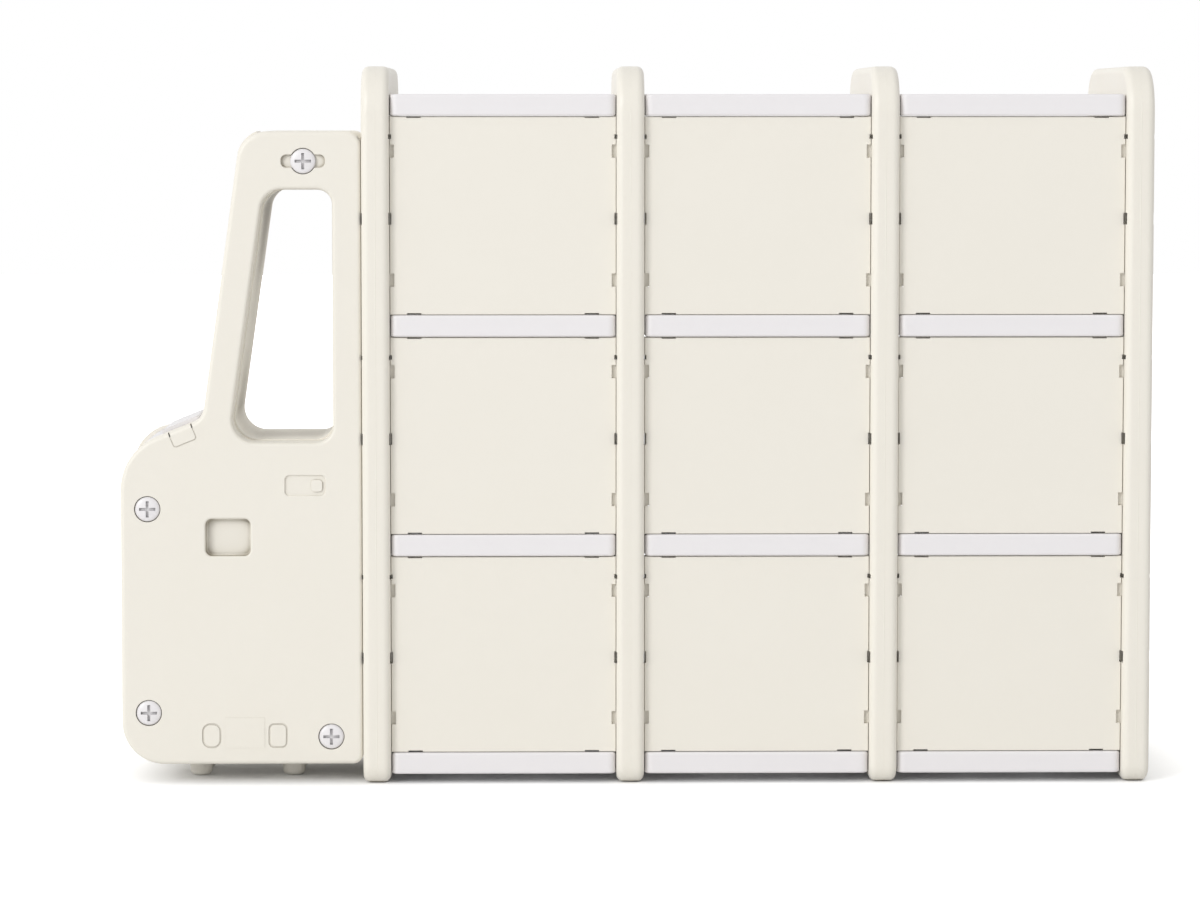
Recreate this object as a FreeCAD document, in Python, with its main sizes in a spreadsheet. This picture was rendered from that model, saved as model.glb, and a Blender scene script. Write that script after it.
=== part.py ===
import FreeCAD, Part
import Sketcher
import os
import re

# A toy shelf with a truck-shaped end. Four hollow uprights carry boards in three columns, hooked panels
# close the back of every bay, and a hollow cab in two shells stands at the left end.
# Millimetres and degrees. +X runs away from the cab, -Y is the closed back, +Z is up, and the origin is
# on the floor under the middle of the whole shelf.

COLUMNS = ("left", "middle", "right")
LEVELS = ("base", "lower", "upper", "top")
ROWS = ("bottom", "centre", "top")

SIZES = {
    # Uprights: blow-moulded slabs, one hollow each.
    "upright_height": 800,
    "upright_depth": 340,
    "upright_thick": 31,
    "upright_wall": 3,
    "upright_top_round": 50,
    "upright_base_round": 20,
    "upright_edge_round": 8,
    "bay_width": 252,
    # Small slots along the back edges of the uprights.
    "edge_slot_inset": 4.5,
    "edge_slot_depth": 18,
    "edge_slot_height": 13,
    "edge_slot_drop": 114,
    "pin_slot_height": 5,
    "pin_slot_drop": 23,
    # Boards: shallow trays with ribs underneath and tongues at both ends.
    "board_thick": 24,
    "board_top_margin": 31,
    "board_lift": 10,
    "board_setback": 8,
    "board_end_gap": 0.25,
    "board_skin": 3.2,
    "board_corner_round": 9,
    "board_edge_round": 2.8,
    "rib_thick": 2,
    "rib_drop": 15,
    "tongue_width": 40,
    "tongue_thick": 9,
    "tongue_length": 10,
    "tongue_offset": 95,
    "fit_gap": 0.3,
    # Back panels: rimmed plates with two hooks a side.
    "panel_skin": 3,
    "panel_rim_depth": 12,
    "panel_rim_wall": 3.6,
    "panel_edge_round": 0.8,
    "panel_setback": 12,
    "panel_side_gap": 0.3,
    "panel_top_gap": 0.4,
    "panel_base_gap": 0.3,
    "panel_step": 0.25,
    "panel_step_depth": 3,
    "panel_top_step": 0.7,
    "hook_rise": 39,
    "hook_height": 14,
    "hook_thick": 3,
    "hook_reach": 5,
    "hook_root": 9,
    "hook_sink": 4.5,
    "notch_width": 5,
    "relief_length": 16,
    "relief_inset": 19,
    "relief_depth": 2,
    "relief_sink": 11,
    # Cab outline, seen from the back.
    "cab_width": 268.7,
    "cab_gap": 0.3,
    "cab_setback": 6,
    "cab_depth": 190,
    "cab_base": 22,
    "cab_top": 728,
    "cab_wall": 3,
    "cab_rim_round": 5,
    "cab_seam_round": 0.7,
    "roof_length": 133,
    "cowl_inset": 91.5,
    "cowl_height": 409,
    "hood_slope": 22,
    "heel_round": 47,
    "tail_round": 11,
    "roof_back_round": 16,
    "roof_front_round": 34,
    "cowl_round": 20,
    "nose_round": 62,
    # Cab window.
    "window_top": 664,
    "window_sill": 382.5,
    "window_post": 32,
    "window_top_length": 76,
    "window_base_length": 116,
    "window_rim_round": 4,
    "window_lip": 1.2,
    "window_front_top_round": 24,
    "window_back_top_round": 17,
    "window_back_base_round": 19,
    "window_front_base_round": 26,
    # Cab shells and what is moulded into them.
    "cover_depth": 35,
    "badge_left": 94.5,
    "badge_low": 256,
    "badge_width": 50,
    "badge_height": 41.5,
    "badge_depth": 11,
    "badge_round": 7,
    "badge_rim": 2.5,
    "badge_floor": 2,
    "handle_left": 183,
    "handle_low": 323.2,
    "handle_width": 45,
    "handle_height": 22.8,
    "handle_depth": 2.4,
    "handle_round": 5,
    "handle_rim": 1.1,
    "handle_floor": 0.8,
    "key_left": 212,
    "key_low": 327.6,
    "key_width": 12.8,
    "key_height": 13.5,
    "key_proud": 1.8,
    "key_round": 4,
    "key_rim": 0.7,
    "keyway_width": 49,
    "keyway_height": 14.5,
    "keyway_depth": 5,
    "keyway_round": 6,
    "keyway_floor": 0.8,
    "plug_width": 21,
    "plug_height": 27.5,
    "plug_low": 40.5,
    "plug_groove": 1.6,
    "plug_sink": 1.2,
    "plug_rim": 0.5,
    "front_plug_left": 89.5,
    "front_plug_round": 9,
    "back_plug_left": 163.5,
    "back_plug_round": 6.5,
    "pad_left": 115,
    "pad_low": 40.5,
    "pad_width": 44,
    "pad_height": 34,
    "pad_proud": 0.5,
    "latch_inset": 57.5,
    "latch_length": 28,
    "latch_drop": 18.5,
    "latch_slit": 1.1,
    "latch_round": 4,
    "latch_sink": 0.7,
    "latch_gap": 1.4,
    "latch_gap_drop": 5,
    "visor_proud": 2.6,
    "visor_end": 165,
    "visor_sweep": 52,
    "visor_start": 3,
    "visor_width": 70,
    # White bonnet insert between the two rims of the bonnet.
    "hood_start": 13,
    "hood_end": 87,
    "hood_drop": 64,
    "hood_rim": 28,
    "bonnet_rim_rise": 17.3,
    "bonnet_rim_back": 19,
    "bonnet_rim_round": 46,
    "bonnet_rim_drop": 30,
    "hood_flange_inset": 46,
    "hood_flange": 2,
    "hood_flange_lap": 5,
    "cowl_block_start": 45,
    "cowl_block_end": 85,
    "cowl_block_rise": 4,
    "cowl_block_round": 2.5,
    # Screws, measured along from the cab's nose, down from its roof or cowl and up from its base.
    "roof_screw_along": 204.8,
    "roof_screw_drop": 33,
    "nose_screw_along": 30,
    "nose_screw_drop": 100.5,
    "heel_screw_along": 30,
    "heel_screw_lift": 58,
    "tail_screw_along": 233.5,
    "tail_screw_lift": 31,
    "screw_head": 28.2,
    "screw_head_high": 5.6,
    "screw_head_rim": 1.8,
    "screw_shank": 8,
    "screw_length": 42,
    "cross_length": 18,
    "cross_width": 3.2,
    "cross_depth": 3.6,
    "cup_depth": 4.4,
    "cup_gap": 0.5,
    "cup_rim": 0.6,
    "thread_gap": 0.1,
    "tower_wall": 5,
    # Peg feet under the cab.
    "foot_front": 82.5,
    "foot_back": 187.5,
    "foot_inset": 70,
    "foot_top_width": 27,
    "foot_base_width": 24,
    "foot_round": 5,
    "foot_stem_width": 12,
    "foot_stem_length": 6,
}

FUNCTIONS = ("sin", "cos", "tan", "atan")

# Places shared by several pieces, as expressions on the sheet.
REAR = "(-upright_depth / 2)"
PITCH = "(bay_width + upright_thick)"
SHELF_LEFT = "(cab_width + cab_gap)"
TOTAL = f"({SHELF_LEFT} + {len(COLUMNS)} * {PITCH} + upright_thick)"
LEFT = f"(-{TOTAL} / 2)"
BOARD_PITCH = f"((upright_height - board_top_margin - board_lift - board_thick) / {len(ROWS)})"
BAY_HEIGHT = f"({BOARD_PITCH} - board_thick)"
BOARD_LENGTH = "(bay_width - 2 * board_end_gap)"
BOARD_DEPTH = "(upright_depth - 2 * board_setback)"
PANEL_WIDTH = "(bay_width - 2 * panel_side_gap)"
PANEL_HEIGHT = f"({BAY_HEIGHT} - panel_top_gap - panel_base_gap)"
HOOK_BACK = f"({REAR} + panel_setback + hook_sink)"
HOOD_LOW = "(cowl_height - hood_drop)"
NOSE_HEIGHT = "(cowl_height - cowl_inset * tan(hood_slope))"
CAB_REAR = f"({REAR} + cab_setback)"
LEAN = "atan((cab_width - roof_length - cowl_inset) / (cab_top - cowl_height))"
VISOR_ALONG = (f"(cowl_inset + (cab_top - roof_front_round - cowl_height) * tan({LEAN})"
               f" + roof_front_round / cos({LEAN}))")
TOWER_BACK = "(cup_depth + cab_wall)"
SCREW_RISES = {
    "roof": "(cab_top - roof_screw_drop)",
    "nose": "(cowl_height - nose_screw_drop)",
    "heel": "(cab_base + heel_screw_lift)",
    "tail": "(cab_base + tail_screw_lift)",
}
FOOT_SPOTS = [(x, y) for x in ("foot_front", "foot_back") for y in ("foot_inset", "cab_depth - foot_inset")]
BOTH_ROWS = (-1, 1)
CAB_TONGUE_LEVELS = (1, 2)

doc = FreeCAD.newDocument("toy_shelf")
sheet = doc.addObject("Spreadsheet::Sheet", "sizes")
for row, (alias, number) in enumerate(SIZES.items(), start=1):
    sheet.set(f"A{row}", alias)
    sheet.set(f"B{row}", str(number))
    sheet.setAlias(f"B{row}", alias)
doc.recompute()


def on_sheet(text):
    """Point every size named in an expression at the sheet."""
    def name(match):
        word = match.group()
        return word if word in FUNCTIONS else f"sizes.{word}"
    return re.sub(r"[a-z_]+", name, text)


def worth(text):
    """Work out an expression on the sheet as a plain number."""
    value = sheet.evalExpression(on_sheet(text))
    return float(getattr(value, "Value", value))


def bind(thing, places):
    for prop, text in places.items():
        thing.setExpression(prop, on_sheet(text))


def place(thing, x="0", y="0", z="0"):
    bind(thing, {"Placement.Base.x": x, "Placement.Base.y": y, "Placement.Base.z": z})


def new_body(name):
    body = doc.addObject("PartDesign::Body", name)
    body.Label = name
    return body


def clone(master, name):
    """A second piece from the same mould."""
    body = new_body(name)
    copy = doc.addObject("PartDesign::FeatureBase", f"{name}_copy")
    body.Group = [copy]
    body.Tip = copy
    copy.BaseFeature = master
    return body


def box(body, name, size, corner, cut=False):
    kind = "Subtractive" if cut else "Additive"
    feature = body.newObject(f"PartDesign::{kind}Box", name)
    bind(feature, dict(zip(("Length", "Width", "Height"), size)))
    place(feature, *corner)
    return feature


def middle(edge):
    return edge.valueAt((edge.FirstParameter + edge.LastParameter) / 2)


def near(value, text):
    return abs(value - worth(text)) < 1e-4


def runs_along(edge, axis):
    """Whether an edge is a straight line along one axis, given as 0, 1 or 2."""
    if not isinstance(edge.Curve, Part.Line):
        return False
    return abs(abs(edge.Curve.Direction[axis]) - 1) < 1e-6


def round_edges(body, name, radius, wanted):
    """Round the edges of a body's last feature that a test picks."""
    doc.recompute()
    base = body.Tip
    names = [f"Edge{number}" for number, edge in enumerate(base.Shape.Edges, start=1) if wanted(edge)]
    fillet = body.newObject("PartDesign::Fillet", name)
    fillet.Base = (base, names)
    bind(fillet, {"Radius": radius})
    return fillet


def round_corners(body, name, radius, axis, corners):
    """Round the edges along one axis that stand at any of the given corners."""
    others = [other for other in range(3) if other != axis]

    def wanted(edge):
        if not runs_along(edge, axis):
            return False
        spot = middle(edge)
        return any(all(near(spot[other], text) for other, text in zip(others, corner)) for corner in corners)
    return round_edges(body, name, radius, wanted)


def socket_rise(level):
    return f"(board_lift + {level} * {BOARD_PITCH} + (board_thick - tongue_thick) / 2)"


def hollow_slab(name, inset):
    """An upright's outline, or its hollow when set in by the wall."""
    body = new_body(name)
    high = f"upright_height - {inset}"
    size = (f"upright_thick - 2 * {inset}", f"upright_depth - 2 * {inset}", f"upright_height - 2 * {inset}")
    box(body, f"{name}_slab", size, (inset, f"{REAR} + {inset}", inset))
    ends = (f"{REAR} + {inset}", f"-{REAR} - {inset}")
    round_corners(body, f"{name}_top", f"upright_top_round - {inset}", 0, [(end, high) for end in ends])
    round_corners(body, f"{name}_base", f"upright_base_round - {inset}", 0, [(end, inset) for end in ends])
    faces = (inset, f"upright_thick - {inset}")
    round_edges(body, f"{name}_edges", f"upright_edge_round - {inset}",
                lambda edge: any(near(middle(edge).x, face) for face in faces))
    doc.recompute()
    return body


def combine(body, kind, tools):
    """Join loose tools to a body ("Fuse") or cut them away from it ("Cut"), all at once."""
    doc.recompute()
    step = body.newObject("PartDesign::Boolean", f"{body.Name}_{kind}")
    step.Type = kind
    step.setObjects(tools)


def tool_box(name, size, corner):
    tool = doc.addObject("Part::Box", name)
    bind(tool, dict(zip(("Length", "Width", "Height"), size)))
    place(tool, *corner)
    return tool


def tool_rod(name, radius, length, start):
    """A cylinder that runs along +Y from its start."""
    tool = doc.addObject("Part::Cylinder", name)
    tool.Placement = FreeCAD.Placement(FreeCAD.Vector(), FreeCAD.Rotation(FreeCAD.Vector(1, 0, 0), -90))
    bind(tool, {"Radius": radius, "Height": length})
    place(tool, *start)
    return tool


def round_block(name, size, corner, radius):
    """A block whose four edges along Y are round."""
    body = new_body(name)
    box(body, f"{name}_block", size, corner)
    (width, _, height), (left, _, low) = size, corner
    spots = [(x, z) for x in (left, f"{left} + {width}") for z in (low, f"{low} + {height}")]
    round_corners(body, f"{name}_corners", radius, 1, spots)
    doc.recompute()
    return body


def upright(name, left_levels, left_rows, right_levels):
    """One slab, emptied, with its board sockets, hook slots and back-edge slots cut through the walls."""
    body = hollow_slab(name, "0")
    tools = [hollow_slab(f"{name}_hollow", "upright_wall")]
    half = "upright_thick / 2"
    socket = (half, "tongue_width + 2 * fit_gap", "tongue_thick + 2 * fit_gap")
    for side, start, levels, rows in (("left", "0", left_levels, left_rows),
                                      ("right", half, right_levels, BOTH_ROWS)):
        for level in levels:
            for row in rows:
                corner = (start, f"{row} * tongue_offset - tongue_width / 2 - fit_gap",
                          f"{socket_rise(level)} - fit_gap")
                tools.append(tool_box(f"{name}_{side}_socket_{level}_{row + 1}", socket, corner))
    hook_slot = ("upright_thick", "hook_thick + 2 * fit_gap", "hook_height + 2 * fit_gap")
    for row in range(len(ROWS)):
        floor = f"(board_lift + board_thick + {row} * {BOARD_PITCH})"
        for end, rise in (("low", "hook_rise"), ("high", f"{BAY_HEIGHT} - hook_rise")):
            corner = ("0", f"{HOOK_BACK} - fit_gap", f"{floor} + {rise} - hook_height / 2 - fit_gap")
            tools.append(tool_box(f"{name}_hook_slot_{row}_{end}", hook_slot, corner))
        for kind in ("edge", "pin"):
            size = ("upright_thick", "edge_slot_depth", f"{kind}_slot_height")
            corner = ("0", f"{REAR} + edge_slot_inset",
                      f"{floor} + {BAY_HEIGHT} - {kind}_slot_drop - {kind}_slot_height / 2")
            tools.append(tool_box(f"{name}_{kind}_slot_{row}", size, corner))
    combine(body, "Cut", tools)
    return body


def board(name):
    """A tray open underneath: skin, skirt, crossing ribs, and two tongues at each end."""
    body = new_body(name)
    front, back = f"{BOARD_DEPTH} / 2", f"-{BOARD_DEPTH} / 2"
    box(body, f"{name}_block", (BOARD_LENGTH, BOARD_DEPTH, "board_thick"), ("0", back, "0"))
    round_corners(body, f"{name}_ends", "board_corner_round", 2,
                  [(x, y) for x in ("0", BOARD_LENGTH) for y in (front, back)])
    round_edges(body, f"{name}_edges", "board_edge_round",
                lambda edge: near(middle(edge).z, "0") or near(middle(edge).z, "board_thick"))
    tray = new_body(f"{name}_tray")
    inner = (f"{BOARD_LENGTH} - 2 * board_skin", f"{BOARD_DEPTH} - 2 * board_skin",
             "board_thick - board_skin")
    box(tray, f"{name}_tray_block", inner, ("board_skin", f"{back} + board_skin", "0"))
    round_corners(tray, f"{name}_tray_corners", "board_corner_round - board_skin", 2,
                  [(x, y) for x in ("board_skin", f"{BOARD_LENGTH} - board_skin")
                   for y in (f"{front} - board_skin", f"{back} + board_skin")])
    combine(body, "Cut", [tray])
    rib_low = "board_thick - board_skin - rib_drop"
    for third in (1, 2):
        size = ("rib_thick", f"{BOARD_DEPTH} - board_skin", "rib_drop")
        corner = (f"{third} * {BOARD_LENGTH} / 3 - rib_thick / 2", f"{back} + board_skin / 2", rib_low)
        box(body, f"{name}_cross_rib_{third}", size, corner)
        size = (f"{BOARD_LENGTH} - board_skin", "rib_thick", "rib_drop")
        corner = ("board_skin / 2", f"{third} * {BOARD_DEPTH} / 3 - rib_thick / 2 + {back}", rib_low)
        box(body, f"{name}_long_rib_{third}", size, corner)
    reach = "board_end_gap + tongue_length + board_skin"
    for end, start in (("left", "-board_end_gap - tongue_length"), ("right", f"{BOARD_LENGTH} - board_skin")):
        for row in BOTH_ROWS:
            corner = (start, f"{row} * tongue_offset - tongue_width / 2", "(board_thick - tongue_thick) / 2")
            box(body, f"{name}_{end}_tongue_{row + 1}", (reach, "tongue_width", "tongue_thick"), corner)
    return body


def panel(name):
    """A plate with a stepped rim, a notch over each hook, and small pockets in its four edges."""
    body = new_body(name)
    size = (PANEL_WIDTH, "panel_rim_depth - panel_step_depth", PANEL_HEIGHT)
    box(body, f"{name}_rim", size, ("0", "panel_step_depth", "0"))
    size = (f"{PANEL_WIDTH} - 2 * panel_step", "panel_step_depth",
            f"{PANEL_HEIGHT} - panel_step - panel_top_step")
    box(body, f"{name}_plate", size, ("panel_step", "0", "panel_step"))
    round_edges(body, f"{name}_edges", "panel_edge_round", lambda edge: near(middle(edge).y, "0"))
    inner = (f"{PANEL_WIDTH} - 2 * panel_rim_wall", "panel_rim_depth - panel_skin",
             f"{PANEL_HEIGHT} - 2 * panel_rim_wall")
    box(body, f"{name}_tray", inner, ("panel_rim_wall", "panel_skin", "panel_rim_wall"), cut=True)
    reach = "panel_side_gap + hook_reach + hook_root"
    for end, rise in (("low", "hook_rise - panel_base_gap"),
                      ("high", f"{BAY_HEIGHT} - hook_rise - panel_base_gap")):
        low = f"{rise} - hook_height / 2"
        for side, notch, start in (("left", "0", "-panel_side_gap - hook_reach"),
                                   ("right", f"{PANEL_WIDTH} - notch_width", f"{PANEL_WIDTH} - hook_root")):
            size = ("notch_width", "hook_sink", "hook_height + 2 * fit_gap")
            box(body, f"{name}_{side}_{end}_notch", size, (notch, "0", f"{low} - fit_gap"), cut=True)
            size = (reach, "hook_thick", "hook_height")
            box(body, f"{name}_{side}_{end}_hook", size, (start, "hook_sink", low))
    for end, low in (("base", "0"), ("top", f"{PANEL_HEIGHT} - relief_depth")):
        for side, start in (("left", "relief_inset"),
                            ("right", f"{PANEL_WIDTH} - relief_inset - relief_length")):
            size = ("relief_length", "relief_sink", "relief_depth")
            box(body, f"{name}_{side}_{end}_relief", size, (start, "0", low), cut=True)
    for kind in ("edge", "pin"):
        low = f"{BAY_HEIGHT} - panel_base_gap - {kind}_slot_drop - {kind}_slot_height / 2"
        for side, start in (("left", "0"), ("right", f"{PANEL_WIDTH} - relief_depth")):
            size = ("relief_depth", "relief_sink", f"{kind}_slot_height")
            box(body, f"{name}_{side}_{kind}_pocket", size, (start, "0", low), cut=True)
    return body


CAB_CORNERS = {
    "heel": ("0", "cab_base"),
    "tail": ("cab_width", "cab_base"),
    "roof_back": ("cab_width", "cab_top"),
    "roof_front": ("cab_width - roof_length", "cab_top"),
    "cowl": ("cowl_inset", "cowl_height"),
    "nose": ("0", NOSE_HEIGHT),
}
WINDOW_BACK = "(cab_width - window_post)"


def window_corners(lip):
    """The window's corners, drawn in by a lip on every side."""
    low, high, back = f"window_sill + {lip}", f"window_top - {lip}", f"{WINDOW_BACK} - {lip}"
    return {
        "window_front_base": (f"{WINDOW_BACK} - window_base_length + {lip}", low),
        "window_back_base": (back, low),
        "window_back_top": (back, high),
        "window_front_top": (f"{WINDOW_BACK} - window_top_length + {lip}", high),
    }


BONNET_RIM_LOW = f"({HOOD_LOW} - bonnet_rim_drop)"


def bonnet_rim_corners(inset):
    """The bonnet's far rim, which stands up above its near one at the nose."""
    top = f"{NOSE_HEIGHT} + bonnet_rim_rise - {inset}"
    back = f"{NOSE_HEIGHT} + bonnet_rim_back - {inset}"
    return {
        "bonnet_rim_heel": (inset, BONNET_RIM_LOW),
        "bonnet_rim_tail": ("hood_end", BONNET_RIM_LOW),
        "bonnet_rim_cowl": ("hood_end", back),
        "bonnet_rim_nose": (inset, top),
    }


def outline(body, name, corners, start):
    """A closed sketch of straight lines through named corners, facing the back at a given depth."""
    sketch = body.newObject("Sketcher::SketchObject", name)
    plane = next(item for item in body.Origin.OriginFeatures if item.Role == "XZ_Plane")
    sketch.AttachmentSupport = [(plane, "")]
    sketch.MapMode = "FlatFace"
    bind(sketch, {"AttachmentOffset.Base.z": f"-({start})"})
    points = [FreeCAD.Vector(worth(x), worth(z), 0) for x, z in corners.values()]
    count = len(points)
    for number, point in enumerate(points):
        sketch.addGeometry(Part.LineSegment(point, points[(number + 1) % count]))
    for number in range(count):
        sketch.addConstraint(Sketcher.Constraint("Coincident", number, 2, (number + 1) % count, 1))
    for number, (corner, (x, z)) in enumerate(corners.items()):
        for kind, text, along in (("DistanceX", x, points[number].x), ("DistanceY", z, points[number].y)):
            spot = sketch.addConstraint(Sketcher.Constraint(kind, -1, 1, number, 1, along))
            sketch.renameConstraint(spot, f"{corner}_{kind}")
            bind(sketch, {f"Constraints.{corner}_{kind}": text})
    return sketch


def cab_block(body, start, length):
    """The cab's outline as a solid block, with its corners rounded."""
    name = body.Name
    pad = body.newObject("PartDesign::Pad", f"{name}_block")
    pad.Profile = outline(body, f"{name}_outline", CAB_CORNERS, start)
    pad.Reversed = True
    bind(pad, {"Length": length})
    for corner, spot in CAB_CORNERS.items():
        round_corners(body, f"{name}_{corner}", f"{corner}_round", 1, [spot])


def cab_shell(name, start, length, face, opening, lip):
    """Half of the cab: the block with its window, rounded at its face and emptied from the joint side."""
    body = new_body(name)
    cab_block(body, start, length)
    doc.recompute()
    window = body.newObject("PartDesign::Pocket", f"{name}_window")
    corners = window_corners(lip)
    window.Profile = outline(body, f"{name}_window_outline", corners, start)
    bind(window, {"Length": length})
    for corner, spot in corners.items():
        round_corners(body, f"{name}_{corner}", f"{corner}_round", 1, [spot])
    doc.recompute()
    outer = next(flat for flat in body.Tip.Shape.Faces if is_flat_at(flat, face))
    rim = [middle(edge) for edge in outer.OuterWire.Edges]
    round_edges(body, f"{name}_rim", "cab_rim_round", lambda edge: is_one_of(middle(edge), rim))
    round_edges(body, f"{name}_window_rim", "window_rim_round", lambda edge: is_window_rim(edge, face))
    empty_out(body, f"{name}_shell", (opening,))
    ring = max((flat for flat in body.Tip.Shape.Faces if is_flat_at(flat, opening)),
               key=lambda flat: flat.BoundBox.DiagonalLength)
    seam = [middle(edge) for edge in ring.OuterWire.Edges]
    round_edges(body, f"{name}_seam", "cab_seam_round", lambda edge: is_one_of(middle(edge), seam))
    return body


def empty_out(body, name, openings):
    """Leave the cab's wall of a block, open at the flat ends at the given depths."""
    doc.recompute()
    base = body.Tip
    names = [f"Face{number}" for number, face in enumerate(base.Shape.Faces, start=1)
             if any(is_flat_at(face, opening) for opening in openings)]
    shell = body.newObject("PartDesign::Thickness", name)
    shell.Base = (base, names)
    shell.Reversed = True
    bind(shell, {"Value": "cab_wall"})
    doc.recompute()


def is_flat_at(face, depth):
    if not isinstance(face.Surface, Part.Plane):
        return False
    return abs(abs(face.Surface.Axis.y) - 1) < 1e-6 and near(face.CenterOfMass.y, depth)


def is_one_of(point, points):
    return any((point - other).Length < 1e-4 for other in points)


def is_window_rim(edge, face):
    """Whether an edge lies at the face's depth inside the window's own box."""
    spot = middle(edge)
    inside = worth(f"{WINDOW_BACK} - window_base_length") - 1e-3 < spot.x < worth(WINDOW_BACK) + 1e-3
    level = worth("window_sill") - 1e-3 < spot.z < worth("window_top") + 1e-3
    return near(spot.y, face) and inside and level


def to_hood_slope(tool, along, depth, drop):
    """Turn a tool to the bonnet's slope, at a distance along the bonnet and below its surface."""
    tool.Placement = FreeCAD.Placement(FreeCAD.Vector(), FreeCAD.Rotation(FreeCAD.Vector(0, -1, 0), 1))
    bind(tool, {"Placement.Rotation.Angle": "hood_slope"})
    place(tool, f"{along} * cos(hood_slope) + ({drop}) * sin(hood_slope)", depth,
          f"{NOSE_HEIGHT} + {along} * sin(hood_slope) - ({drop}) * cos(hood_slope)")


def tilted_box(name, size, along, depth, drop):
    """A box turned and set by the bonnet's slope."""
    tool = tool_box(name, size, ("0", "0", "0"))
    to_hood_slope(tool, along, depth, drop)
    return tool


def on_face(edge, left, low, width, height, depth="0"):
    """Whether an edge lies at a depth under the cover's face, inside a box of its outline."""
    spot = middle(edge)
    across = worth(left) - 0.1 < spot.x < worth(f"{left} + {width}") + 0.1
    return near(spot.y, depth) and across and worth(low) - 0.1 < spot.z < worth(f"{low} + {height}") + 0.1


def recess(name, left, low, width, height, depth, corner):
    """A round-cornered pocket in the cover's face, and the wall that goes behind it."""
    behind = (f"{width} + 2 * cab_wall", f"{depth} + cab_wall / 2", f"{height} + 2 * cab_wall")
    wall = tool_box(f"{name}_wall", behind, (f"{left} - cab_wall", "cab_wall / 2", f"{low} - cab_wall"))
    pocket = round_block(f"{name}_pocket", (width, depth, height), (left, "0", low), corner)
    round_edges(pocket, f"{name}_pocket_floor", f"{name}_floor", lambda edge: near(middle(edge).y, depth))
    doc.recompute()
    return wall, pocket


def plug_ring(end):
    """The narrow groove round a moulded plug."""
    left = f"{end}_plug_left"
    ring = round_block(f"{end}_ring", ("plug_width", "plug_sink", "plug_height"), (left, "0", "plug_low"),
                       f"{end}_plug_round")
    size = ("plug_width - 2 * plug_groove", "plug_sink", "plug_height - 2 * plug_groove")
    corner = (f"{left} + plug_groove", "0", "plug_low + plug_groove")
    inner = round_block(f"{end}_plug", size, corner, f"{end}_plug_round - plug_groove")
    combine(ring, "Cut", [inner])
    return ring


def latch_groove():
    """The narrow groove round a finger at the bonnet; it runs out over the rim."""
    tall = "(latch_drop + cowl_block_rise)"
    size = ("latch_length", "2 * cab_wall", tall)
    groove = round_block("latch_groove", size, ("0", "0", "0"), "latch_round")
    size = ("latch_length - 2 * latch_slit", "2 * cab_wall", f"{tall} - 2 * latch_slit")
    finger = round_block("latch_finger", size, ("latch_slit", "0", "latch_slit"), "latch_round - latch_slit")
    combine(groove, "Cut", [finger])
    to_hood_slope(groove, "latch_inset", "latch_sink - 2 * cab_wall", "latch_drop")
    size = ("latch_gap", "3 * cab_wall", "latch_gap_drop + cowl_block_rise")
    spots = (("start", "latch_inset"), ("end", "(latch_inset + latch_length - latch_gap)"))
    return [groove] + [tilted_box(f"latch_{end}", size, along, "-cab_wall", "latch_gap_drop")
                       for end, along in spots]


def cab_cover():
    """The shallow shell at the back, with everything that is moulded into its face."""
    body = cab_shell("cab_cover", "0", "cover_depth", "0", "cover_depth", "0")
    added = [tool_box("pad", ("pad_width", "pad_proud + cab_wall / 2", "pad_height"),
                      ("pad_left", "-pad_proud", "pad_low"))]
    taken = [plug_ring("front"), plug_ring("back")]
    for name, left, low, size in (
            ("badge", "badge_left", "badge_low", "badge_width"),
            ("handle", "handle_left", "handle_low", "handle_width"),
            ("keyway", "roof_screw_along - keyway_width / 2", f"{SCREW_RISES['roof']} - keyway_height / 2",
             "keyway_width")):
        wall, pocket = recess(name, left, low, size, f"{name}_height", f"{name}_depth", f"{name}_round")
        added.append(wall)
        taken.append(pocket)
    taken += latch_groove()
    for spot, rise in SCREW_RISES.items():
        along = f"{spot}_screw_along"
        added.append(tool_rod(f"{spot}_cup", "screw_head / 2 + cup_gap + cab_wall",
                              "cup_depth + cab_wall / 2", (along, "cab_wall / 2", rise)))
        taken.append(tool_rod(f"{spot}_seat", "screw_head / 2 + cup_gap", "cup_depth", (along, "0", rise)))
        taken.append(tool_rod(f"{spot}_hole", "screw_shank / 2 + fit_gap", "2 * cup_depth + cab_wall",
                              (along, "0", rise)))
    combine(body, "Fuse", added)
    combine(body, "Cut", taken)
    key = round_block("key", ("key_width", "key_proud", "key_height"),
                      ("key_left", "handle_depth - key_proud", "key_low"), "key_round")
    combine(body, "Fuse", [key])
    round_edges(body, "badge_rim_edge", "badge_rim", lambda edge: on_face(
        edge, "badge_left", "badge_low", "badge_width", "badge_height"))
    round_edges(body, "handle_rim_edge", "handle_rim", lambda edge: on_face(
        edge, "handle_left", "handle_low", "handle_width", "handle_height"))
    round_edges(body, "key_rim_edge", "key_rim", lambda edge: on_face(
        edge, "key_left", "key_low", "key_width", "key_height", "handle_depth - key_proud"))
    round_edges(body, "plug_rim_edges", "plug_rim", lambda edge: any(on_face(
        edge, f"{end}_plug_left", "plug_low", "plug_width", "plug_height") for end in ("front", "back")))
    seat = "(screw_head + 2 * cup_gap)"
    round_edges(body, "cup_rim_edges", "cup_rim", lambda edge: any(on_face(
        edge, f"{spot}_screw_along - keyway_width / 2", f"{rise} - {seat} / 2", "keyway_width", seat)
        for spot, rise in SCREW_RISES.items()))
    return body


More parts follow.
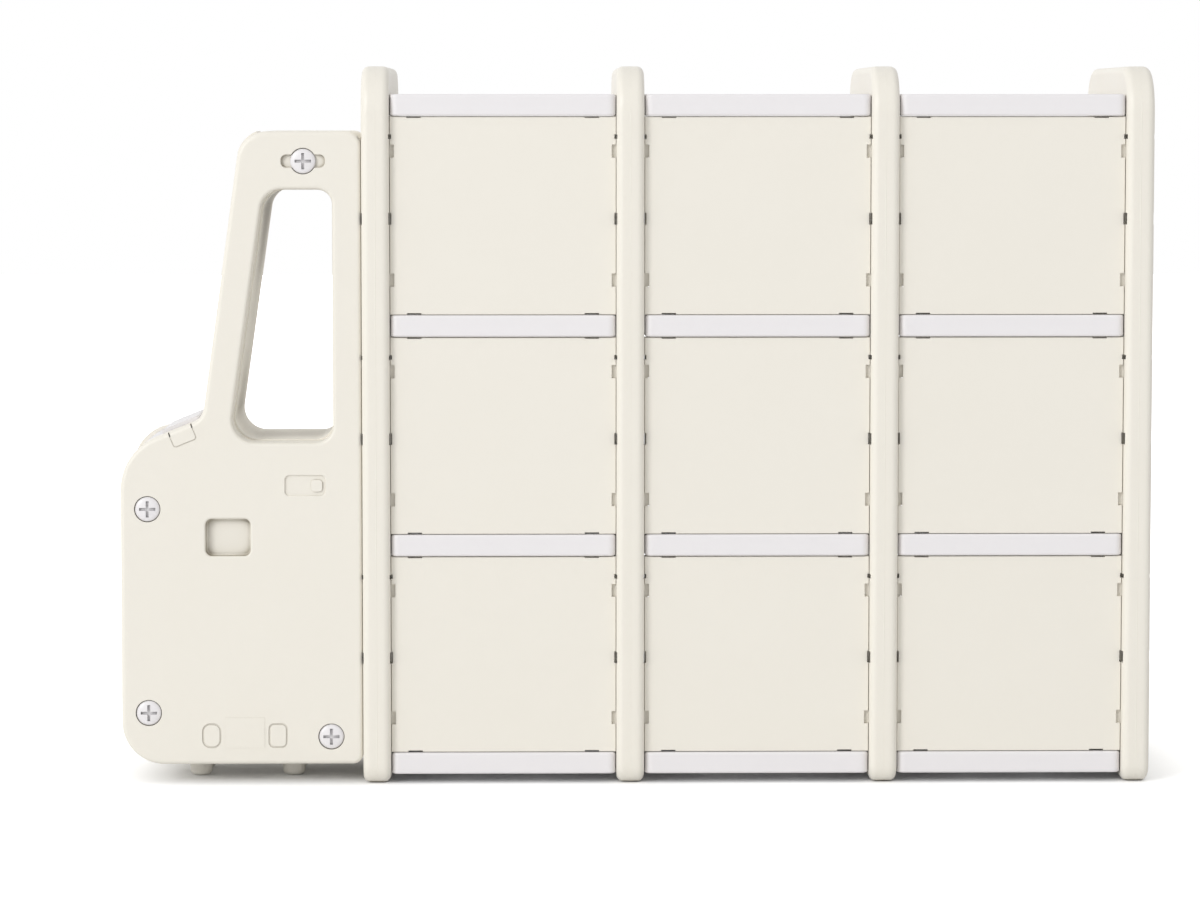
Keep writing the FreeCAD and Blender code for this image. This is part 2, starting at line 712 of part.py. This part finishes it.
def visor_band():
    """A thin raised band round the roof's front corner, just behind the cover."""
    body = new_body("visor_band")
    sector = body.newObject("PartDesign::AdditiveCylinder", "visor_sector")
    bind(sector, {"Radius": "roof_front_round + visor_proud", "Height": "visor_width",
                  "Angle": "visor_sweep"})
    core = body.newObject("PartDesign::SubtractiveCylinder", "visor_core")
    bind(core, {"Radius": "roof_front_round - cab_wall / 2", "Height": "visor_width"})
    lay_down = FreeCAD.Rotation(FreeCAD.Vector(1, 0, 0), -90)
    turn = FreeCAD.Rotation(FreeCAD.Vector(0, 0, 1), -worth("visor_end"))
    body.Placement = FreeCAD.Placement(FreeCAD.Vector(), lay_down * turn)
    place(body, VISOR_ALONG, "cover_depth + visor_start", "cab_top - roof_front_round")
    return body


def bonnet_rim(name, inset):
    """The raised far rim of the bonnet as a block, or its hollow when set in by the wall."""
    body = new_body(name)
    pad = body.newObject("PartDesign::Pad", f"{name}_block")
    corners = bonnet_rim_corners(inset)
    pad.Profile = outline(body, f"{name}_outline", corners, f"cab_depth - hood_rim + {inset}")
    pad.Reversed = True
    bind(pad, {"Length": f"hood_rim - 2 * {inset}"})
    round_corners(body, f"{name}_nose", f"bonnet_rim_round - {inset}", 1, [corners["bonnet_rim_nose"]])
    far = f"cab_depth - {inset}"
    round_edges(body, f"{name}_edge", f"cab_rim_round - {inset}", lambda edge: near(middle(edge).y, far) and
                middle(edge).z > worth(BONNET_RIM_LOW) + 1 and middle(edge).x < worth("hood_end") - 1)
    doc.recompute()
    return body


def cab_body():
    """The deep shell: screw towers, the bonnet opening, foot holes and the tongues into the first upright."""
    body = cab_shell("cab_body", "cover_depth", "cab_depth - cover_depth", "cab_depth", "cover_depth",
                     "window_lip")
    added = [visor_band(), bonnet_rim("bonnet_rim", "0")]
    size = ("hood_end - hood_start", "cab_depth - cover_depth - hood_rim", "cowl_height")
    taken = [tool_box("bonnet_opening", size, ("hood_start", "cover_depth", HOOD_LOW)),
             bonnet_rim("bonnet_rim_hollow", "cab_wall")]
    for spot, rise in SCREW_RISES.items():
        start = (f"{spot}_screw_along", TOWER_BACK, rise)
        added.append(tool_rod(f"{spot}_tower", "screw_shank / 2 + tower_wall",
                              f"cab_depth - cab_wall / 2 - {TOWER_BACK}", start))
        taken.append(tool_rod(f"{spot}_bore", "screw_shank / 2 + thread_gap", "screw_length", start))
    for level in CAB_TONGUE_LEVELS:
        size = ("cab_wall / 2 + cab_gap + tongue_length", "tongue_width", "tongue_thick")
        corner = ("cab_width - cab_wall / 2", f"-tongue_offset - tongue_width / 2 - {CAB_REAR}",
                  socket_rise(level))
        added.append(tool_box(f"cab_tongue_{level}", size, corner))
    for number, (x, y) in enumerate(FOOT_SPOTS):
        hole = doc.addObject("Part::Cylinder", f"foot_hole_{number}")
        bind(hole, {"Radius": "foot_stem_width / 2 + fit_gap", "Height": "2 * cab_wall"})
        place(hole, x, y, "cab_base - cab_wall / 2")
        taken.append(hole)
    combine(body, "Fuse", added)
    combine(body, "Cut", taken)
    return body


def hood_insert():
    """The white skin of the bonnet, level with the rims, with a raised block at the cowl, on a flange."""
    body = new_body("hood_insert")
    start = "cover_depth + fit_gap"
    length = "(cab_depth - cover_depth - hood_rim - 2 * fit_gap)"
    cab_block(body, start, length)
    empty_out(body, "hood_skin", (start, f"{start} + {length}"))
    whole = ("cab_width", "cab_depth", "cab_top")
    off = [
        tool_box("hood_tail_off", whole, ("hood_end - fit_gap", "0", "cab_base")),
        tool_box("hood_nose_off", ("hood_start", "cab_depth", "cab_top"), ("fit_gap", "0", "cab_base")),
        tool_box("hood_base_off", ("cab_width", "cab_depth", HOOD_LOW), ("0", "0", "0")),
    ]
    combine(body, "Cut", off)
    tilt = "/ cos(hood_slope)"
    size = (f"(hood_end - hood_flange_inset) {tilt}",
            "cab_depth - cover_depth - hood_rim + hood_flange_lap - fit_gap", "hood_flange")
    flange = tilted_box("hood_flange_plate", size, f"(hood_flange_inset {tilt})",
                        "cover_depth - hood_flange_lap", "cab_wall + hood_flange")
    size = (f"(cowl_block_end - cowl_block_start) {tilt}", length, "cowl_block_rise + cab_wall")
    block = round_block("cowl_block", size, ("0", "0", "0"), "cowl_block_round")
    to_hood_slope(block, f"(cowl_block_start {tilt})", start, "cab_wall")
    combine(body, "Fuse", [flange, block])
    return body


def screw(name):
    """A wide dome-headed screw with a cross recess; it stands along +Z before it is turned."""
    body = new_body(name)
    shank = body.newObject("PartDesign::AdditiveCylinder", f"{name}_shank")
    bind(shank, {"Radius": "screw_shank / 2", "Height": "screw_length"})
    place(shank, z="-screw_length")
    head = body.newObject("PartDesign::AdditiveCylinder", f"{name}_head")
    bind(head, {"Radius": "screw_head / 2", "Height": "screw_head_rim"})
    dome = body.newObject("PartDesign::AdditiveEllipsoid", f"{name}_dome")
    dome.Angle1 = 0
    bind(dome, {"Radius1": "screw_head_high - screw_head_rim", "Radius2": "screw_head / 2",
                "Radius3": "screw_head / 2"})
    place(dome, z="screw_head_rim")
    low = "screw_head_high - cross_depth"
    size = ("cross_length", "cross_width", "cross_depth")
    box(body, f"{name}_cross_a", size, ("-cross_length / 2", "-cross_width / 2", low), cut=True)
    size = ("cross_width", "cross_length", "cross_depth")
    box(body, f"{name}_cross_b", size, ("-cross_width / 2", "-cross_length / 2", low), cut=True)
    return body


def foot(name):
    """A tapered peg with a stem that pushes up into the cab's base."""
    body = new_body(name)
    peg = body.newObject("PartDesign::AdditiveCone", f"{name}_peg")
    bind(peg, {"Radius1": "foot_base_width / 2", "Radius2": "foot_top_width / 2", "Height": "cab_base"})
    round_edges(body, f"{name}_round", "foot_round", lambda edge: near(middle(edge).z, "0"))
    stem = body.newObject("PartDesign::AdditiveCylinder", f"{name}_stem")
    bind(stem, {"Radius": "foot_stem_width / 2", "Height": "foot_stem_length"})
    place(stem, z="cab_base")
    return body


def group(name, pieces):
    """Like pieces kept in one node as separate solids."""
    bundle = doc.addObject("Part::Compound", name)
    bundle.Label = name
    bundle.Links = pieces
    return bundle


pieces = []

every_level = range(len(LEVELS))
uprights = [
    upright("upright_cab_end", CAB_TONGUE_LEVELS, (-1,), every_level),
    upright("upright_inner_left", every_level, BOTH_ROWS, every_level),
]
uprights.append(clone(uprights[1], "upright_inner_right"))
uprights.append(upright("upright_far_end", every_level, BOTH_ROWS, ()))
for number, item in enumerate(uprights):
    place(item, x=f"{LEFT} + {SHELF_LEFT} + {number} * {PITCH}")
pieces += uprights

first_board = None
first_panel = None
for number, column in enumerate(COLUMNS):
    bay_left = f"{LEFT} + {SHELF_LEFT} + upright_thick + {number} * {PITCH}"
    for step, level in enumerate(LEVELS):
        name = f"shelf_board_{column}_{level}"
        item = clone(first_board, name) if first_board else board(name)
        first_board = first_board or item
        place(item, f"{bay_left} + board_end_gap", "0", f"board_lift + {step} * {BOARD_PITCH}")
        pieces.append(item)
    for step, row in enumerate(ROWS):
        name = f"back_panel_{column}_{row}"
        item = clone(first_panel, name) if first_panel else panel(name)
        first_panel = first_panel or item
        place(item, f"{bay_left} + panel_side_gap", f"{REAR} + panel_setback",
              f"board_lift + board_thick + {step} * {BOARD_PITCH} + panel_base_gap")
        pieces.append(item)

for item in (cab_cover(), cab_body(), hood_insert()):
    place(item, LEFT, CAB_REAR, "0")
    pieces.append(item)

screws = []
for spot, rise in SCREW_RISES.items():
    item = clone(screws[0], f"{spot}_screw") if screws else screw(f"{spot}_screw")
    item.Placement = FreeCAD.Placement(FreeCAD.Vector(), FreeCAD.Rotation(FreeCAD.Vector(1, 0, 0), 90))
    place(item, f"{LEFT} + {spot}_screw_along", f"{CAB_REAR} + cup_depth", rise)
    screws.append(item)
pieces.append(group("cab_screws", screws))

feet = []
for number, (x, y) in enumerate(FOOT_SPOTS):
    item = clone(feet[0], f"foot_{number}") if feet else foot(f"foot_{number}")
    place(item, f"{LEFT} + {x}", f"{CAB_REAR} + {y}", "0")
    feet.append(item)
pieces.append(group("cab_feet", feet))

doc.recompute()
for item in doc.Objects:
    if {"Invalid", "Error"} & set(item.State):
        raise SystemExit(f"{item.Label} failed: {item.State}")
for item in pieces:
    if item.Shape.isNull() or not item.Shape.isValid():
        raise SystemExit(f"{item.Label} has no valid shape")

os.makedirs("parts", exist_ok=True)
for item in pieces:
    item.Shape.exportStep(f"parts/{item.Label}.step")
    print(item.Label, len(item.Shape.Solids), round(item.Shape.Volume / 1000, 1))
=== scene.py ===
import math

import bmesh
import bpy
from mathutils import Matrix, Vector


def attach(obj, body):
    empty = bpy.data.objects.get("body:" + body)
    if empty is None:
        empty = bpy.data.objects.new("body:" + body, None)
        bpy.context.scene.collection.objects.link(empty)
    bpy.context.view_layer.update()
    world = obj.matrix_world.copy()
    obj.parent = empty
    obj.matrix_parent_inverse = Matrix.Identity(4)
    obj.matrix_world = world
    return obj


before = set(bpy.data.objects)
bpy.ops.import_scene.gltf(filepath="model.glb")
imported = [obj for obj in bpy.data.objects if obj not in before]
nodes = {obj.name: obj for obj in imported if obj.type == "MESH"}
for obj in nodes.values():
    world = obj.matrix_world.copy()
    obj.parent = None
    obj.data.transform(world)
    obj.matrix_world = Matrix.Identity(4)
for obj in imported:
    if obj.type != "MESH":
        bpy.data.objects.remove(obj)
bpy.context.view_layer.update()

# Uprights: four hollow slabs of cream polyethylene, with one round edge all the way about.
# They are blow-moulded, so the skin is satin and faintly cloudy, with the fine grain of a blasted mould.
# The boards, the panels and the cab push into sockets and slots in them.
CREAM = (0.865, 0.832, 0.755, 1.0)
CREAM_DEEP = (0.845, 0.808, 0.725, 1.0)
OLIVE_SHADE = (0.20, 0.155, 0.07, 1.0)
CLOUD_WIDTH = 0.11
CLOUD_SHARE = 0.75
FLECK_WIDTH = 0.007
FLECK_SHARE = 0.35
CLEAR_SHARE = 0.05
GLOSS_SPREAD = 0.10
GRAIN_STRENGTH = 0.35
PLASTIC_IOR = 1.49
CREVICE_REACH = 0.010
CREVICE_CLOSED = 0.02
SHELTER_REACH = 0.12
SHELTER_CLOSED = 0.35
SHELTER_OPEN = 0.62
SLAB_PLACES = ("cab_end", "inner_left", "inner_right", "far_end")


class Wire:
    """One socket of a finish, so that sums of sockets read as plain sums."""

    def __init__(self, tree, socket=None):
        self.tree = tree
        self.socket = socket

    def node(self, kind, settings, sockets, out=0):
        made = self.tree.nodes.new(kind)
        for name, value in settings.items():
            setattr(made, name, value)
        for key, value in sockets.items():
            if isinstance(value, Wire):
                self.tree.links.new(value.socket, made.inputs[key])
            else:
                made.inputs[key].default_value = value
        return Wire(self.tree, made.outputs[out] if made.outputs else None)

    def sum(self, operation, first, second):
        return self.node("ShaderNodeMath", {"operation": operation}, {0: first, 1: second})

    def __add__(self, other):
        return self.sum("ADD", self, other)

    def __sub__(self, other):
        return self.sum("SUBTRACT", self, other)

    def __rsub__(self, other):
        return self.sum("SUBTRACT", other, self)

    def __mul__(self, other):
        return self.sum("MULTIPLY", self, other)

    __radd__ = __add__
    __rmul__ = __mul__


def blank_finish(name):
    """An empty material, with the wire that starts its nodes and the place on the piece."""
    finish = bpy.data.materials.new(name)
    finish.use_nodes = True
    finish.node_tree.nodes.clear()
    start = Wire(finish.node_tree)
    return finish, start, start.node("ShaderNodeTexCoord", {}, {}, "Object")


def noise(start, place, width, detail=2.0, roughness=0.5):
    """Soft noise from 0 to 1 whose blotches are about as wide as the width, in metres."""
    sockets = {"Vector": place, "Scale": 1 / width, "Detail": detail, "Roughness": roughness}
    return start.node("ShaderNodeTexNoise", {}, sockets, "Fac")


def mixed(start, share, first, second):
    """The first colour where the share is 0, and the second where it is 1."""
    return start.node("ShaderNodeMix", {"data_type": "RGBA"}, {0: share, 6: first, 7: second}, 2)


def openness(start, reach, samples=8, own_piece=False):
    """How open a spot is within a reach in metres, from 0 in a crevice to 1 on a free face."""
    settings = {"samples": samples, "only_local": own_piece}
    return start.node("ShaderNodeAmbientOcclusion", settings, {"Distance": reach}, "AO")


def moulded_plastic(name, colour, deep, gloss, grain, grain_depth, shade=OLIVE_SHADE, crevice=0.08, shelter=0.0):
    """Moulded plastic: two near colours in soft clouds, with a grain and patchy gloss. Its crevices take the
    shade's colour as painted shade, and where the piece shelters itself it takes a share of olive as painted
    shade."""
    finish, start, place = blank_finish(name)
    clouds = noise(start, place, CLOUD_WIDTH, 3.0)
    flecks = noise(start, place, FLECK_WIDTH)
    skin = noise(start, place, grain, roughness=0.6)
    tint = mixed(start, clouds * CLOUD_SHARE + flecks * FLECK_SHARE - CLEAR_SHARE, colour, deep)
    # Painted shade: where a spot is closed in within the crevice reach, its colour goes over to the shade
    # colour.
    span = {"Value": openness(start, CREVICE_REACH), "From Min": CREVICE_CLOSED, "From Max": crevice}
    tint = mixed(start, start.node("ShaderNodeMapRange", {}, span), shade, tint)
    # Painted shade: where the piece shelters itself, a share of olive is mixed into its colour.
    if shelter:
        span = {"Value": openness(start, SHELTER_REACH, 16, True), "From Min": SHELTER_CLOSED,
                "From Max": SHELTER_OPEN, "To Min": shelter, "To Max": 0.0}
        tint = mixed(start, start.node("ShaderNodeMapRange", {}, span), tint, OLIVE_SHADE)
    rough = clouds * GLOSS_SPREAD + skin * GLOSS_SPREAD + (gloss - GLOSS_SPREAD)
    relief = {"Height": skin, "Strength": GRAIN_STRENGTH, "Distance": grain_depth}
    bumps = start.node("ShaderNodeBump", {}, relief)
    sockets = {"Base Color": tint, "Roughness": rough, "IOR": PLASTIC_IOR, "Normal": bumps}
    plastic = start.node("ShaderNodeBsdfPrincipled", {}, sockets)
    start.node("ShaderNodeOutputMaterial", {}, {"Surface": plastic})
    return finish


# Its crevices take a painted olive shade.
cream_slab = moulded_plastic("cream_slab", CREAM, CREAM_DEEP, 0.42, 0.0009, 0.00012)
for slab_place in SLAB_PLACES:
    nodes[f"upright_{slab_place}"].material_slots[0].material = cream_slab

# Parting seams: the faint bead left round the middle of every slab where the two halves of its mould met.
# Each is a thin strip with a low crown, of the slab's own plastic and moulded in one with it.
# It follows the slab's outline, with a quarter turn at each corner.
TOP_ROUND = 0.050
BASE_ROUND = 0.020
TURN_STEPS = 10
SEAM_PROFILE = ((-0.00055, -0.00006), (-0.00030, 0.00014), (0.0, 0.00020), (0.00030, 0.00014),
                (0.00055, -0.00006))
JOIN_DISTANCE = 1e-6


def add_piece(name, mesh, finish):
    """Turn a built mesh into a piece that rides on the shelf and takes a finish."""
    data = bpy.data.meshes.new(name)
    mesh.to_mesh(data)
    mesh.free()
    data.materials.append(finish)
    piece = bpy.data.objects.new(name, data)
    bpy.context.scene.collection.objects.link(piece)
    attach(piece, "root")


def of_kind(geometry, kind):
    """The items of one kind, such as edges, out of what an operator gives back."""
    return [item for item in geometry if isinstance(item, kind)]


def slab_seam(middle, half, high):
    """The bead round a slab, from its middle, half depth and height: a profile drawn and turned along it."""
    top_half = half - TOP_ROUND
    base_half = half - BASE_ROUND
    side = high - TOP_ROUND - BASE_ROUND
    runs = (((0, -2 * top_half, 0), (middle, -top_half, high - TOP_ROUND)),
            ((0, 0, -side), (middle, -base_half, BASE_ROUND)),
            ((0, 2 * base_half, 0), (middle, base_half, BASE_ROUND)),
            ((0, 0, side), (middle, top_half, high - TOP_ROUND)))
    seam = bmesh.new()
    points = [seam.verts.new((middle + across, top_half, high + out)) for across, out in SEAM_PROFILE]
    profile = [seam.edges.new(pair) for pair in zip(points, points[1:] + points[:1])]
    for run, corner in runs:
        drawn = bmesh.ops.extrude_edge_only(seam, edges=profile)["geom"]
        points = of_kind(drawn, bmesh.types.BMVert)
        bmesh.ops.translate(seam, verts=points, vec=run)
        profile = [edge for edge in of_kind(drawn, bmesh.types.BMEdge) if set(edge.verts) <= set(points)]
        turned = bmesh.ops.spin(seam, geom=points + profile, cent=corner, axis=(1, 0, 0), angle=math.pi / 2,
                                steps=TURN_STEPS)
        profile = of_kind(turned["geom_last"], bmesh.types.BMEdge)
    bmesh.ops.remove_doubles(seam, verts=seam.verts, dist=JOIN_DISTANCE)
    bmesh.ops.recalc_face_normals(seam, faces=seam.faces)
    return seam


for number, slab_place in enumerate(SLAB_PLACES):
    widths, depths, heights = zip(*nodes[f"upright_{slab_place}"].bound_box)
    bead = slab_seam((min(widths) + max(widths)) / 2, max(depths), max(heights))
    add_piece(f"slab_seam_{number}", bead, cream_slab)

# Boards: cool white trays, injection-moulded and open underneath.
# A tongue at each end sits in an upright's socket, and the skin is a little smoother than the slabs'.
COOL_WHITE = (0.850, 0.830, 0.840, 1.0)
COOL_DEEP = (0.830, 0.808, 0.820, 1.0)
# Near-black painted shade for the crevices of the boards and the bonnet insert.
DARK_PAINTED_SHADE = (0.03, 0.026, 0.018, 1.0)
COLUMNS = ("left", "middle", "right")
# The boards' crevices take the near-black painted shade.
white_board = moulded_plastic("white_board", COOL_WHITE, COOL_DEEP, 0.36, 0.0007, 0.00008, DARK_PAINTED_SHADE)
for column in COLUMNS:
    for level in ("base", "lower", "upper", "top"):
        nodes[f"shelf_board_{column}_{level}"].material_slots[0].material = white_board

# Back panels: thin cream plates with a rim, injection-moulded, which close the bays.
# Hooks at their sides catch in the uprights' slots, and their skin is matter than the slabs'.
PANEL_CREAM = (0.865, 0.832, 0.757, 1.0)
PANEL_DEEP = (0.848, 0.812, 0.732, 1.0)
# Its crevices take a painted olive shade.
cream_panel = moulded_plastic("cream_panel", PANEL_CREAM, PANEL_DEEP, 0.48, 0.0006, 0.00008)
for column in COLUMNS:
    for row in ("bottom", "centre", "top"):
        nodes[f"back_panel_{column}_{row}"].material_slots[0].material = cream_panel

# Cab: a shallow cover and a deep shell of cream plastic, screwed together along one parting plane.
# Two tongues on the shell sit in the first upright's sockets.
# The walls of the window shelter each other, and there a share of olive is painted in as shade, so they are
# darker than the outside.
cream_cab = moulded_plastic("cream_cab", CREAM, CREAM_DEEP, 0.42, 0.0009, 0.0001, shelter=0.85)
for shell in ("cab_cover", "cab_body"):
    nodes[shell].material_slots[0].material = cream_cab

# Bonnet insert: a cool white moulding let into the cab's bonnet between its two cream rims.
# It is pressed in past a latch finger on the cover. Its white is painted a shade greyer than the boards', as
# painted shade for the lesser light it gets between the two rims.
BONNET_SHADED_WHITE = (0.77, 0.752, 0.762, 1.0)
BONNET_SHADED_DEEP = (0.75, 0.730, 0.742, 1.0)
# The insert's crevices take the near-black painted shade.
white_bonnet = moulded_plastic("white_bonnet", BONNET_SHADED_WHITE, BONNET_SHADED_DEEP, 0.36, 0.0007, 0.00008, DARK_PAINTED_SHADE)
nodes["hood_insert"].material_slots[0].material = white_bonnet

# Screws: four white plastic screws with broad domed heads, in shallow cups of the cab's cover.
# They hold the cover to towers in the deep shell, and the cross in each head is darkened to grey with
# painted shade.
CROSS_PAINTED_SHADE = (0.13, 0.13, 0.135, 1.0)
white_screw = moulded_plastic("white_screw", COOL_WHITE, COOL_DEEP, 0.30, 0.0005, 0.00005, CROSS_PAINTED_SHADE, 0.5)
nodes["cab_screws"].material_slots[0].material = white_screw

# Feet: four short pegs of cream plastic, which carry the cab; their cream is painted paler as painted light
# against the shade under the cab. Each has a stem that is pushed into a hole in the bottom of the deep
# shell.
FOOT_PAINTED_LIGHT_CREAM = (0.93, 0.90, 0.83, 1.0)
# The same pale cream stands in their crevices, so they take no darker painted shade.
cream_foot = moulded_plastic("cream_foot", FOOT_PAINTED_LIGHT_CREAM, CREAM, 0.45, 0.0009, 0.0001, FOOT_PAINTED_LIGHT_CREAM)
nodes["cab_feet"].material_slots[0].material = cream_foot

# Floor: a pale matt studio floor, just under the shelf so that the two don't flicker.
# It glows to the camera alone, less in the crevice under the shelf, where this paints a shadow, and more far
# away, so it fades to white.
FLOOR_HALF = 14.0
FLOOR_DROP = 0.0003
FLOOR_GREY = (0.9, 0.9, 0.9, 1.0)
WHITE = (1.0, 1.0, 1.0, 1.0)
SHADOW_REACH = 0.08
NEAR_GLOW = 0.5
FAR_GLOW = 0.6
FADE_START = 0.9
FADE_END = 2.5
floor_mesh = bmesh.new()
bmesh.ops.create_grid(floor_mesh, x_segments=1, y_segments=1, size=FLOOR_HALF)
bmesh.ops.translate(floor_mesh, verts=floor_mesh.verts, vec=(0, 0, -FLOOR_DROP))
floor_data = bpy.data.meshes.new("studio_floor")
floor_mesh.to_mesh(floor_data)
floor_mesh.free()
floor = bpy.data.objects.new("studio_floor", floor_data)
bpy.context.scene.collection.objects.link(floor)

floor_finish, start, place = blank_finish("studio_floor")
to_camera = start.node("ShaderNodeLightPath", {}, {}, "Is Camera Ray")
away = start.node("ShaderNodeVectorMath", {"operation": "LENGTH"}, {0: place}, "Value")
far = start.node("ShaderNodeMapRange", {}, {"Value": away, "From Min": FADE_START, "From Max": FADE_END})
# Painted shadow: the near glow falls away where the floor is closed in under the shelf.
strength = to_camera * (openness(start, SHADOW_REACH) * NEAR_GLOW + far * FAR_GLOW)
matt = start.node("ShaderNodeBsdfDiffuse", {}, {"Color": FLOOR_GREY})
glow = start.node("ShaderNodeEmission", {}, {"Color": WHITE, "Strength": strength})
both = start.node("ShaderNodeAddShader", {}, {0: matt, 1: glow})
start.node("ShaderNodeOutputMaterial", {}, {"Surface": both})
floor_data.materials.append(floor_finish)

# Light: a white room that lights the shelf a little less from the far end than from the cab's.
# A large soft lamp stands high behind the shelf on the cab's side, and a weak one lights the open front.
ROOM_LIGHT = 0.74
FAR_END_LIGHT = 0.56
LAMP_SIZE = 6.0
LAMP_AIM = (0, 0, 0.4)
world = bpy.data.worlds.new("studio")
bpy.context.scene.world = world
world.use_nodes = True
world.node_tree.nodes.clear()
start = Wire(world.node_tree)
rays = [start.node("ShaderNodeLightPath", {}, {}, ray)
        for ray in ("Is Camera Ray", "Is Glossy Ray", "Is Transmission Ray")]
seen = start.sum("MAXIMUM", start.sum("MAXIMUM", rays[0], rays[1]), rays[2])
direction = start.node("ShaderNodeTexCoord", {}, {}, "Generated")
along = start.node("ShaderNodeSeparateXYZ", {}, {"Vector": direction}, "X")
span = {"Value": along, "From Min": -0.2, "From Max": 1.0, "To Min": ROOM_LIGHT, "To Max": FAR_END_LIGHT}
soft = start.node("ShaderNodeMapRange", {}, span)
sky = start.node("ShaderNodeBackground", {}, {"Color": WHITE, "Strength": seen * (1 - soft) + soft})
start.node("ShaderNodeOutputWorld", {}, {"Surface": sky})


def soft_lamp(name, spot, power, shines):
    """A square soft lamp at a spot, turned to face the shelf; it may leave no shine on the plastic."""
    light = bpy.data.lights.new(name, "AREA")
    light.size = LAMP_SIZE
    light.energy = power
    lamp = bpy.data.objects.new(name, light)
    lamp.location = spot
    lamp.rotation_euler = (Vector(LAMP_AIM) - Vector(spot)).to_track_quat("-Z", "Y").to_euler()
    lamp.visible_camera = False
    lamp.visible_glossy = shines
    bpy.context.scene.collection.objects.link(lamp)


soft_lamp("key_lamp", (-10.8, -12.6, 7.4), 1200, True)
soft_lamp("fill_lamp", (-4.0, 13.0, 3.5), 300, False)

# Camera: behind the shelf and a little lower than its tops, with a long lens.
# It is turned slightly down and to the right, on to the closed back.
EYE = (-0.1121, -4.67, 0.75)
EYE_DOWN = 0.0729
EYE_RIGHT = 0.0158
view = bpy.data.cameras.new("view")
view.sensor_width = 36.0
view.lens = 121.9
view.shift_y = -0.035
eye = bpy.data.objects.new("view", view)
eye.location = EYE
eye.rotation_euler = (math.pi / 2 - EYE_DOWN, 0, -EYE_RIGHT)
bpy.context.scene.collection.objects.link(eye)
bpy.context.scene.camera = eye
bpy.context.scene.view_settings.view_transform = "Standard"
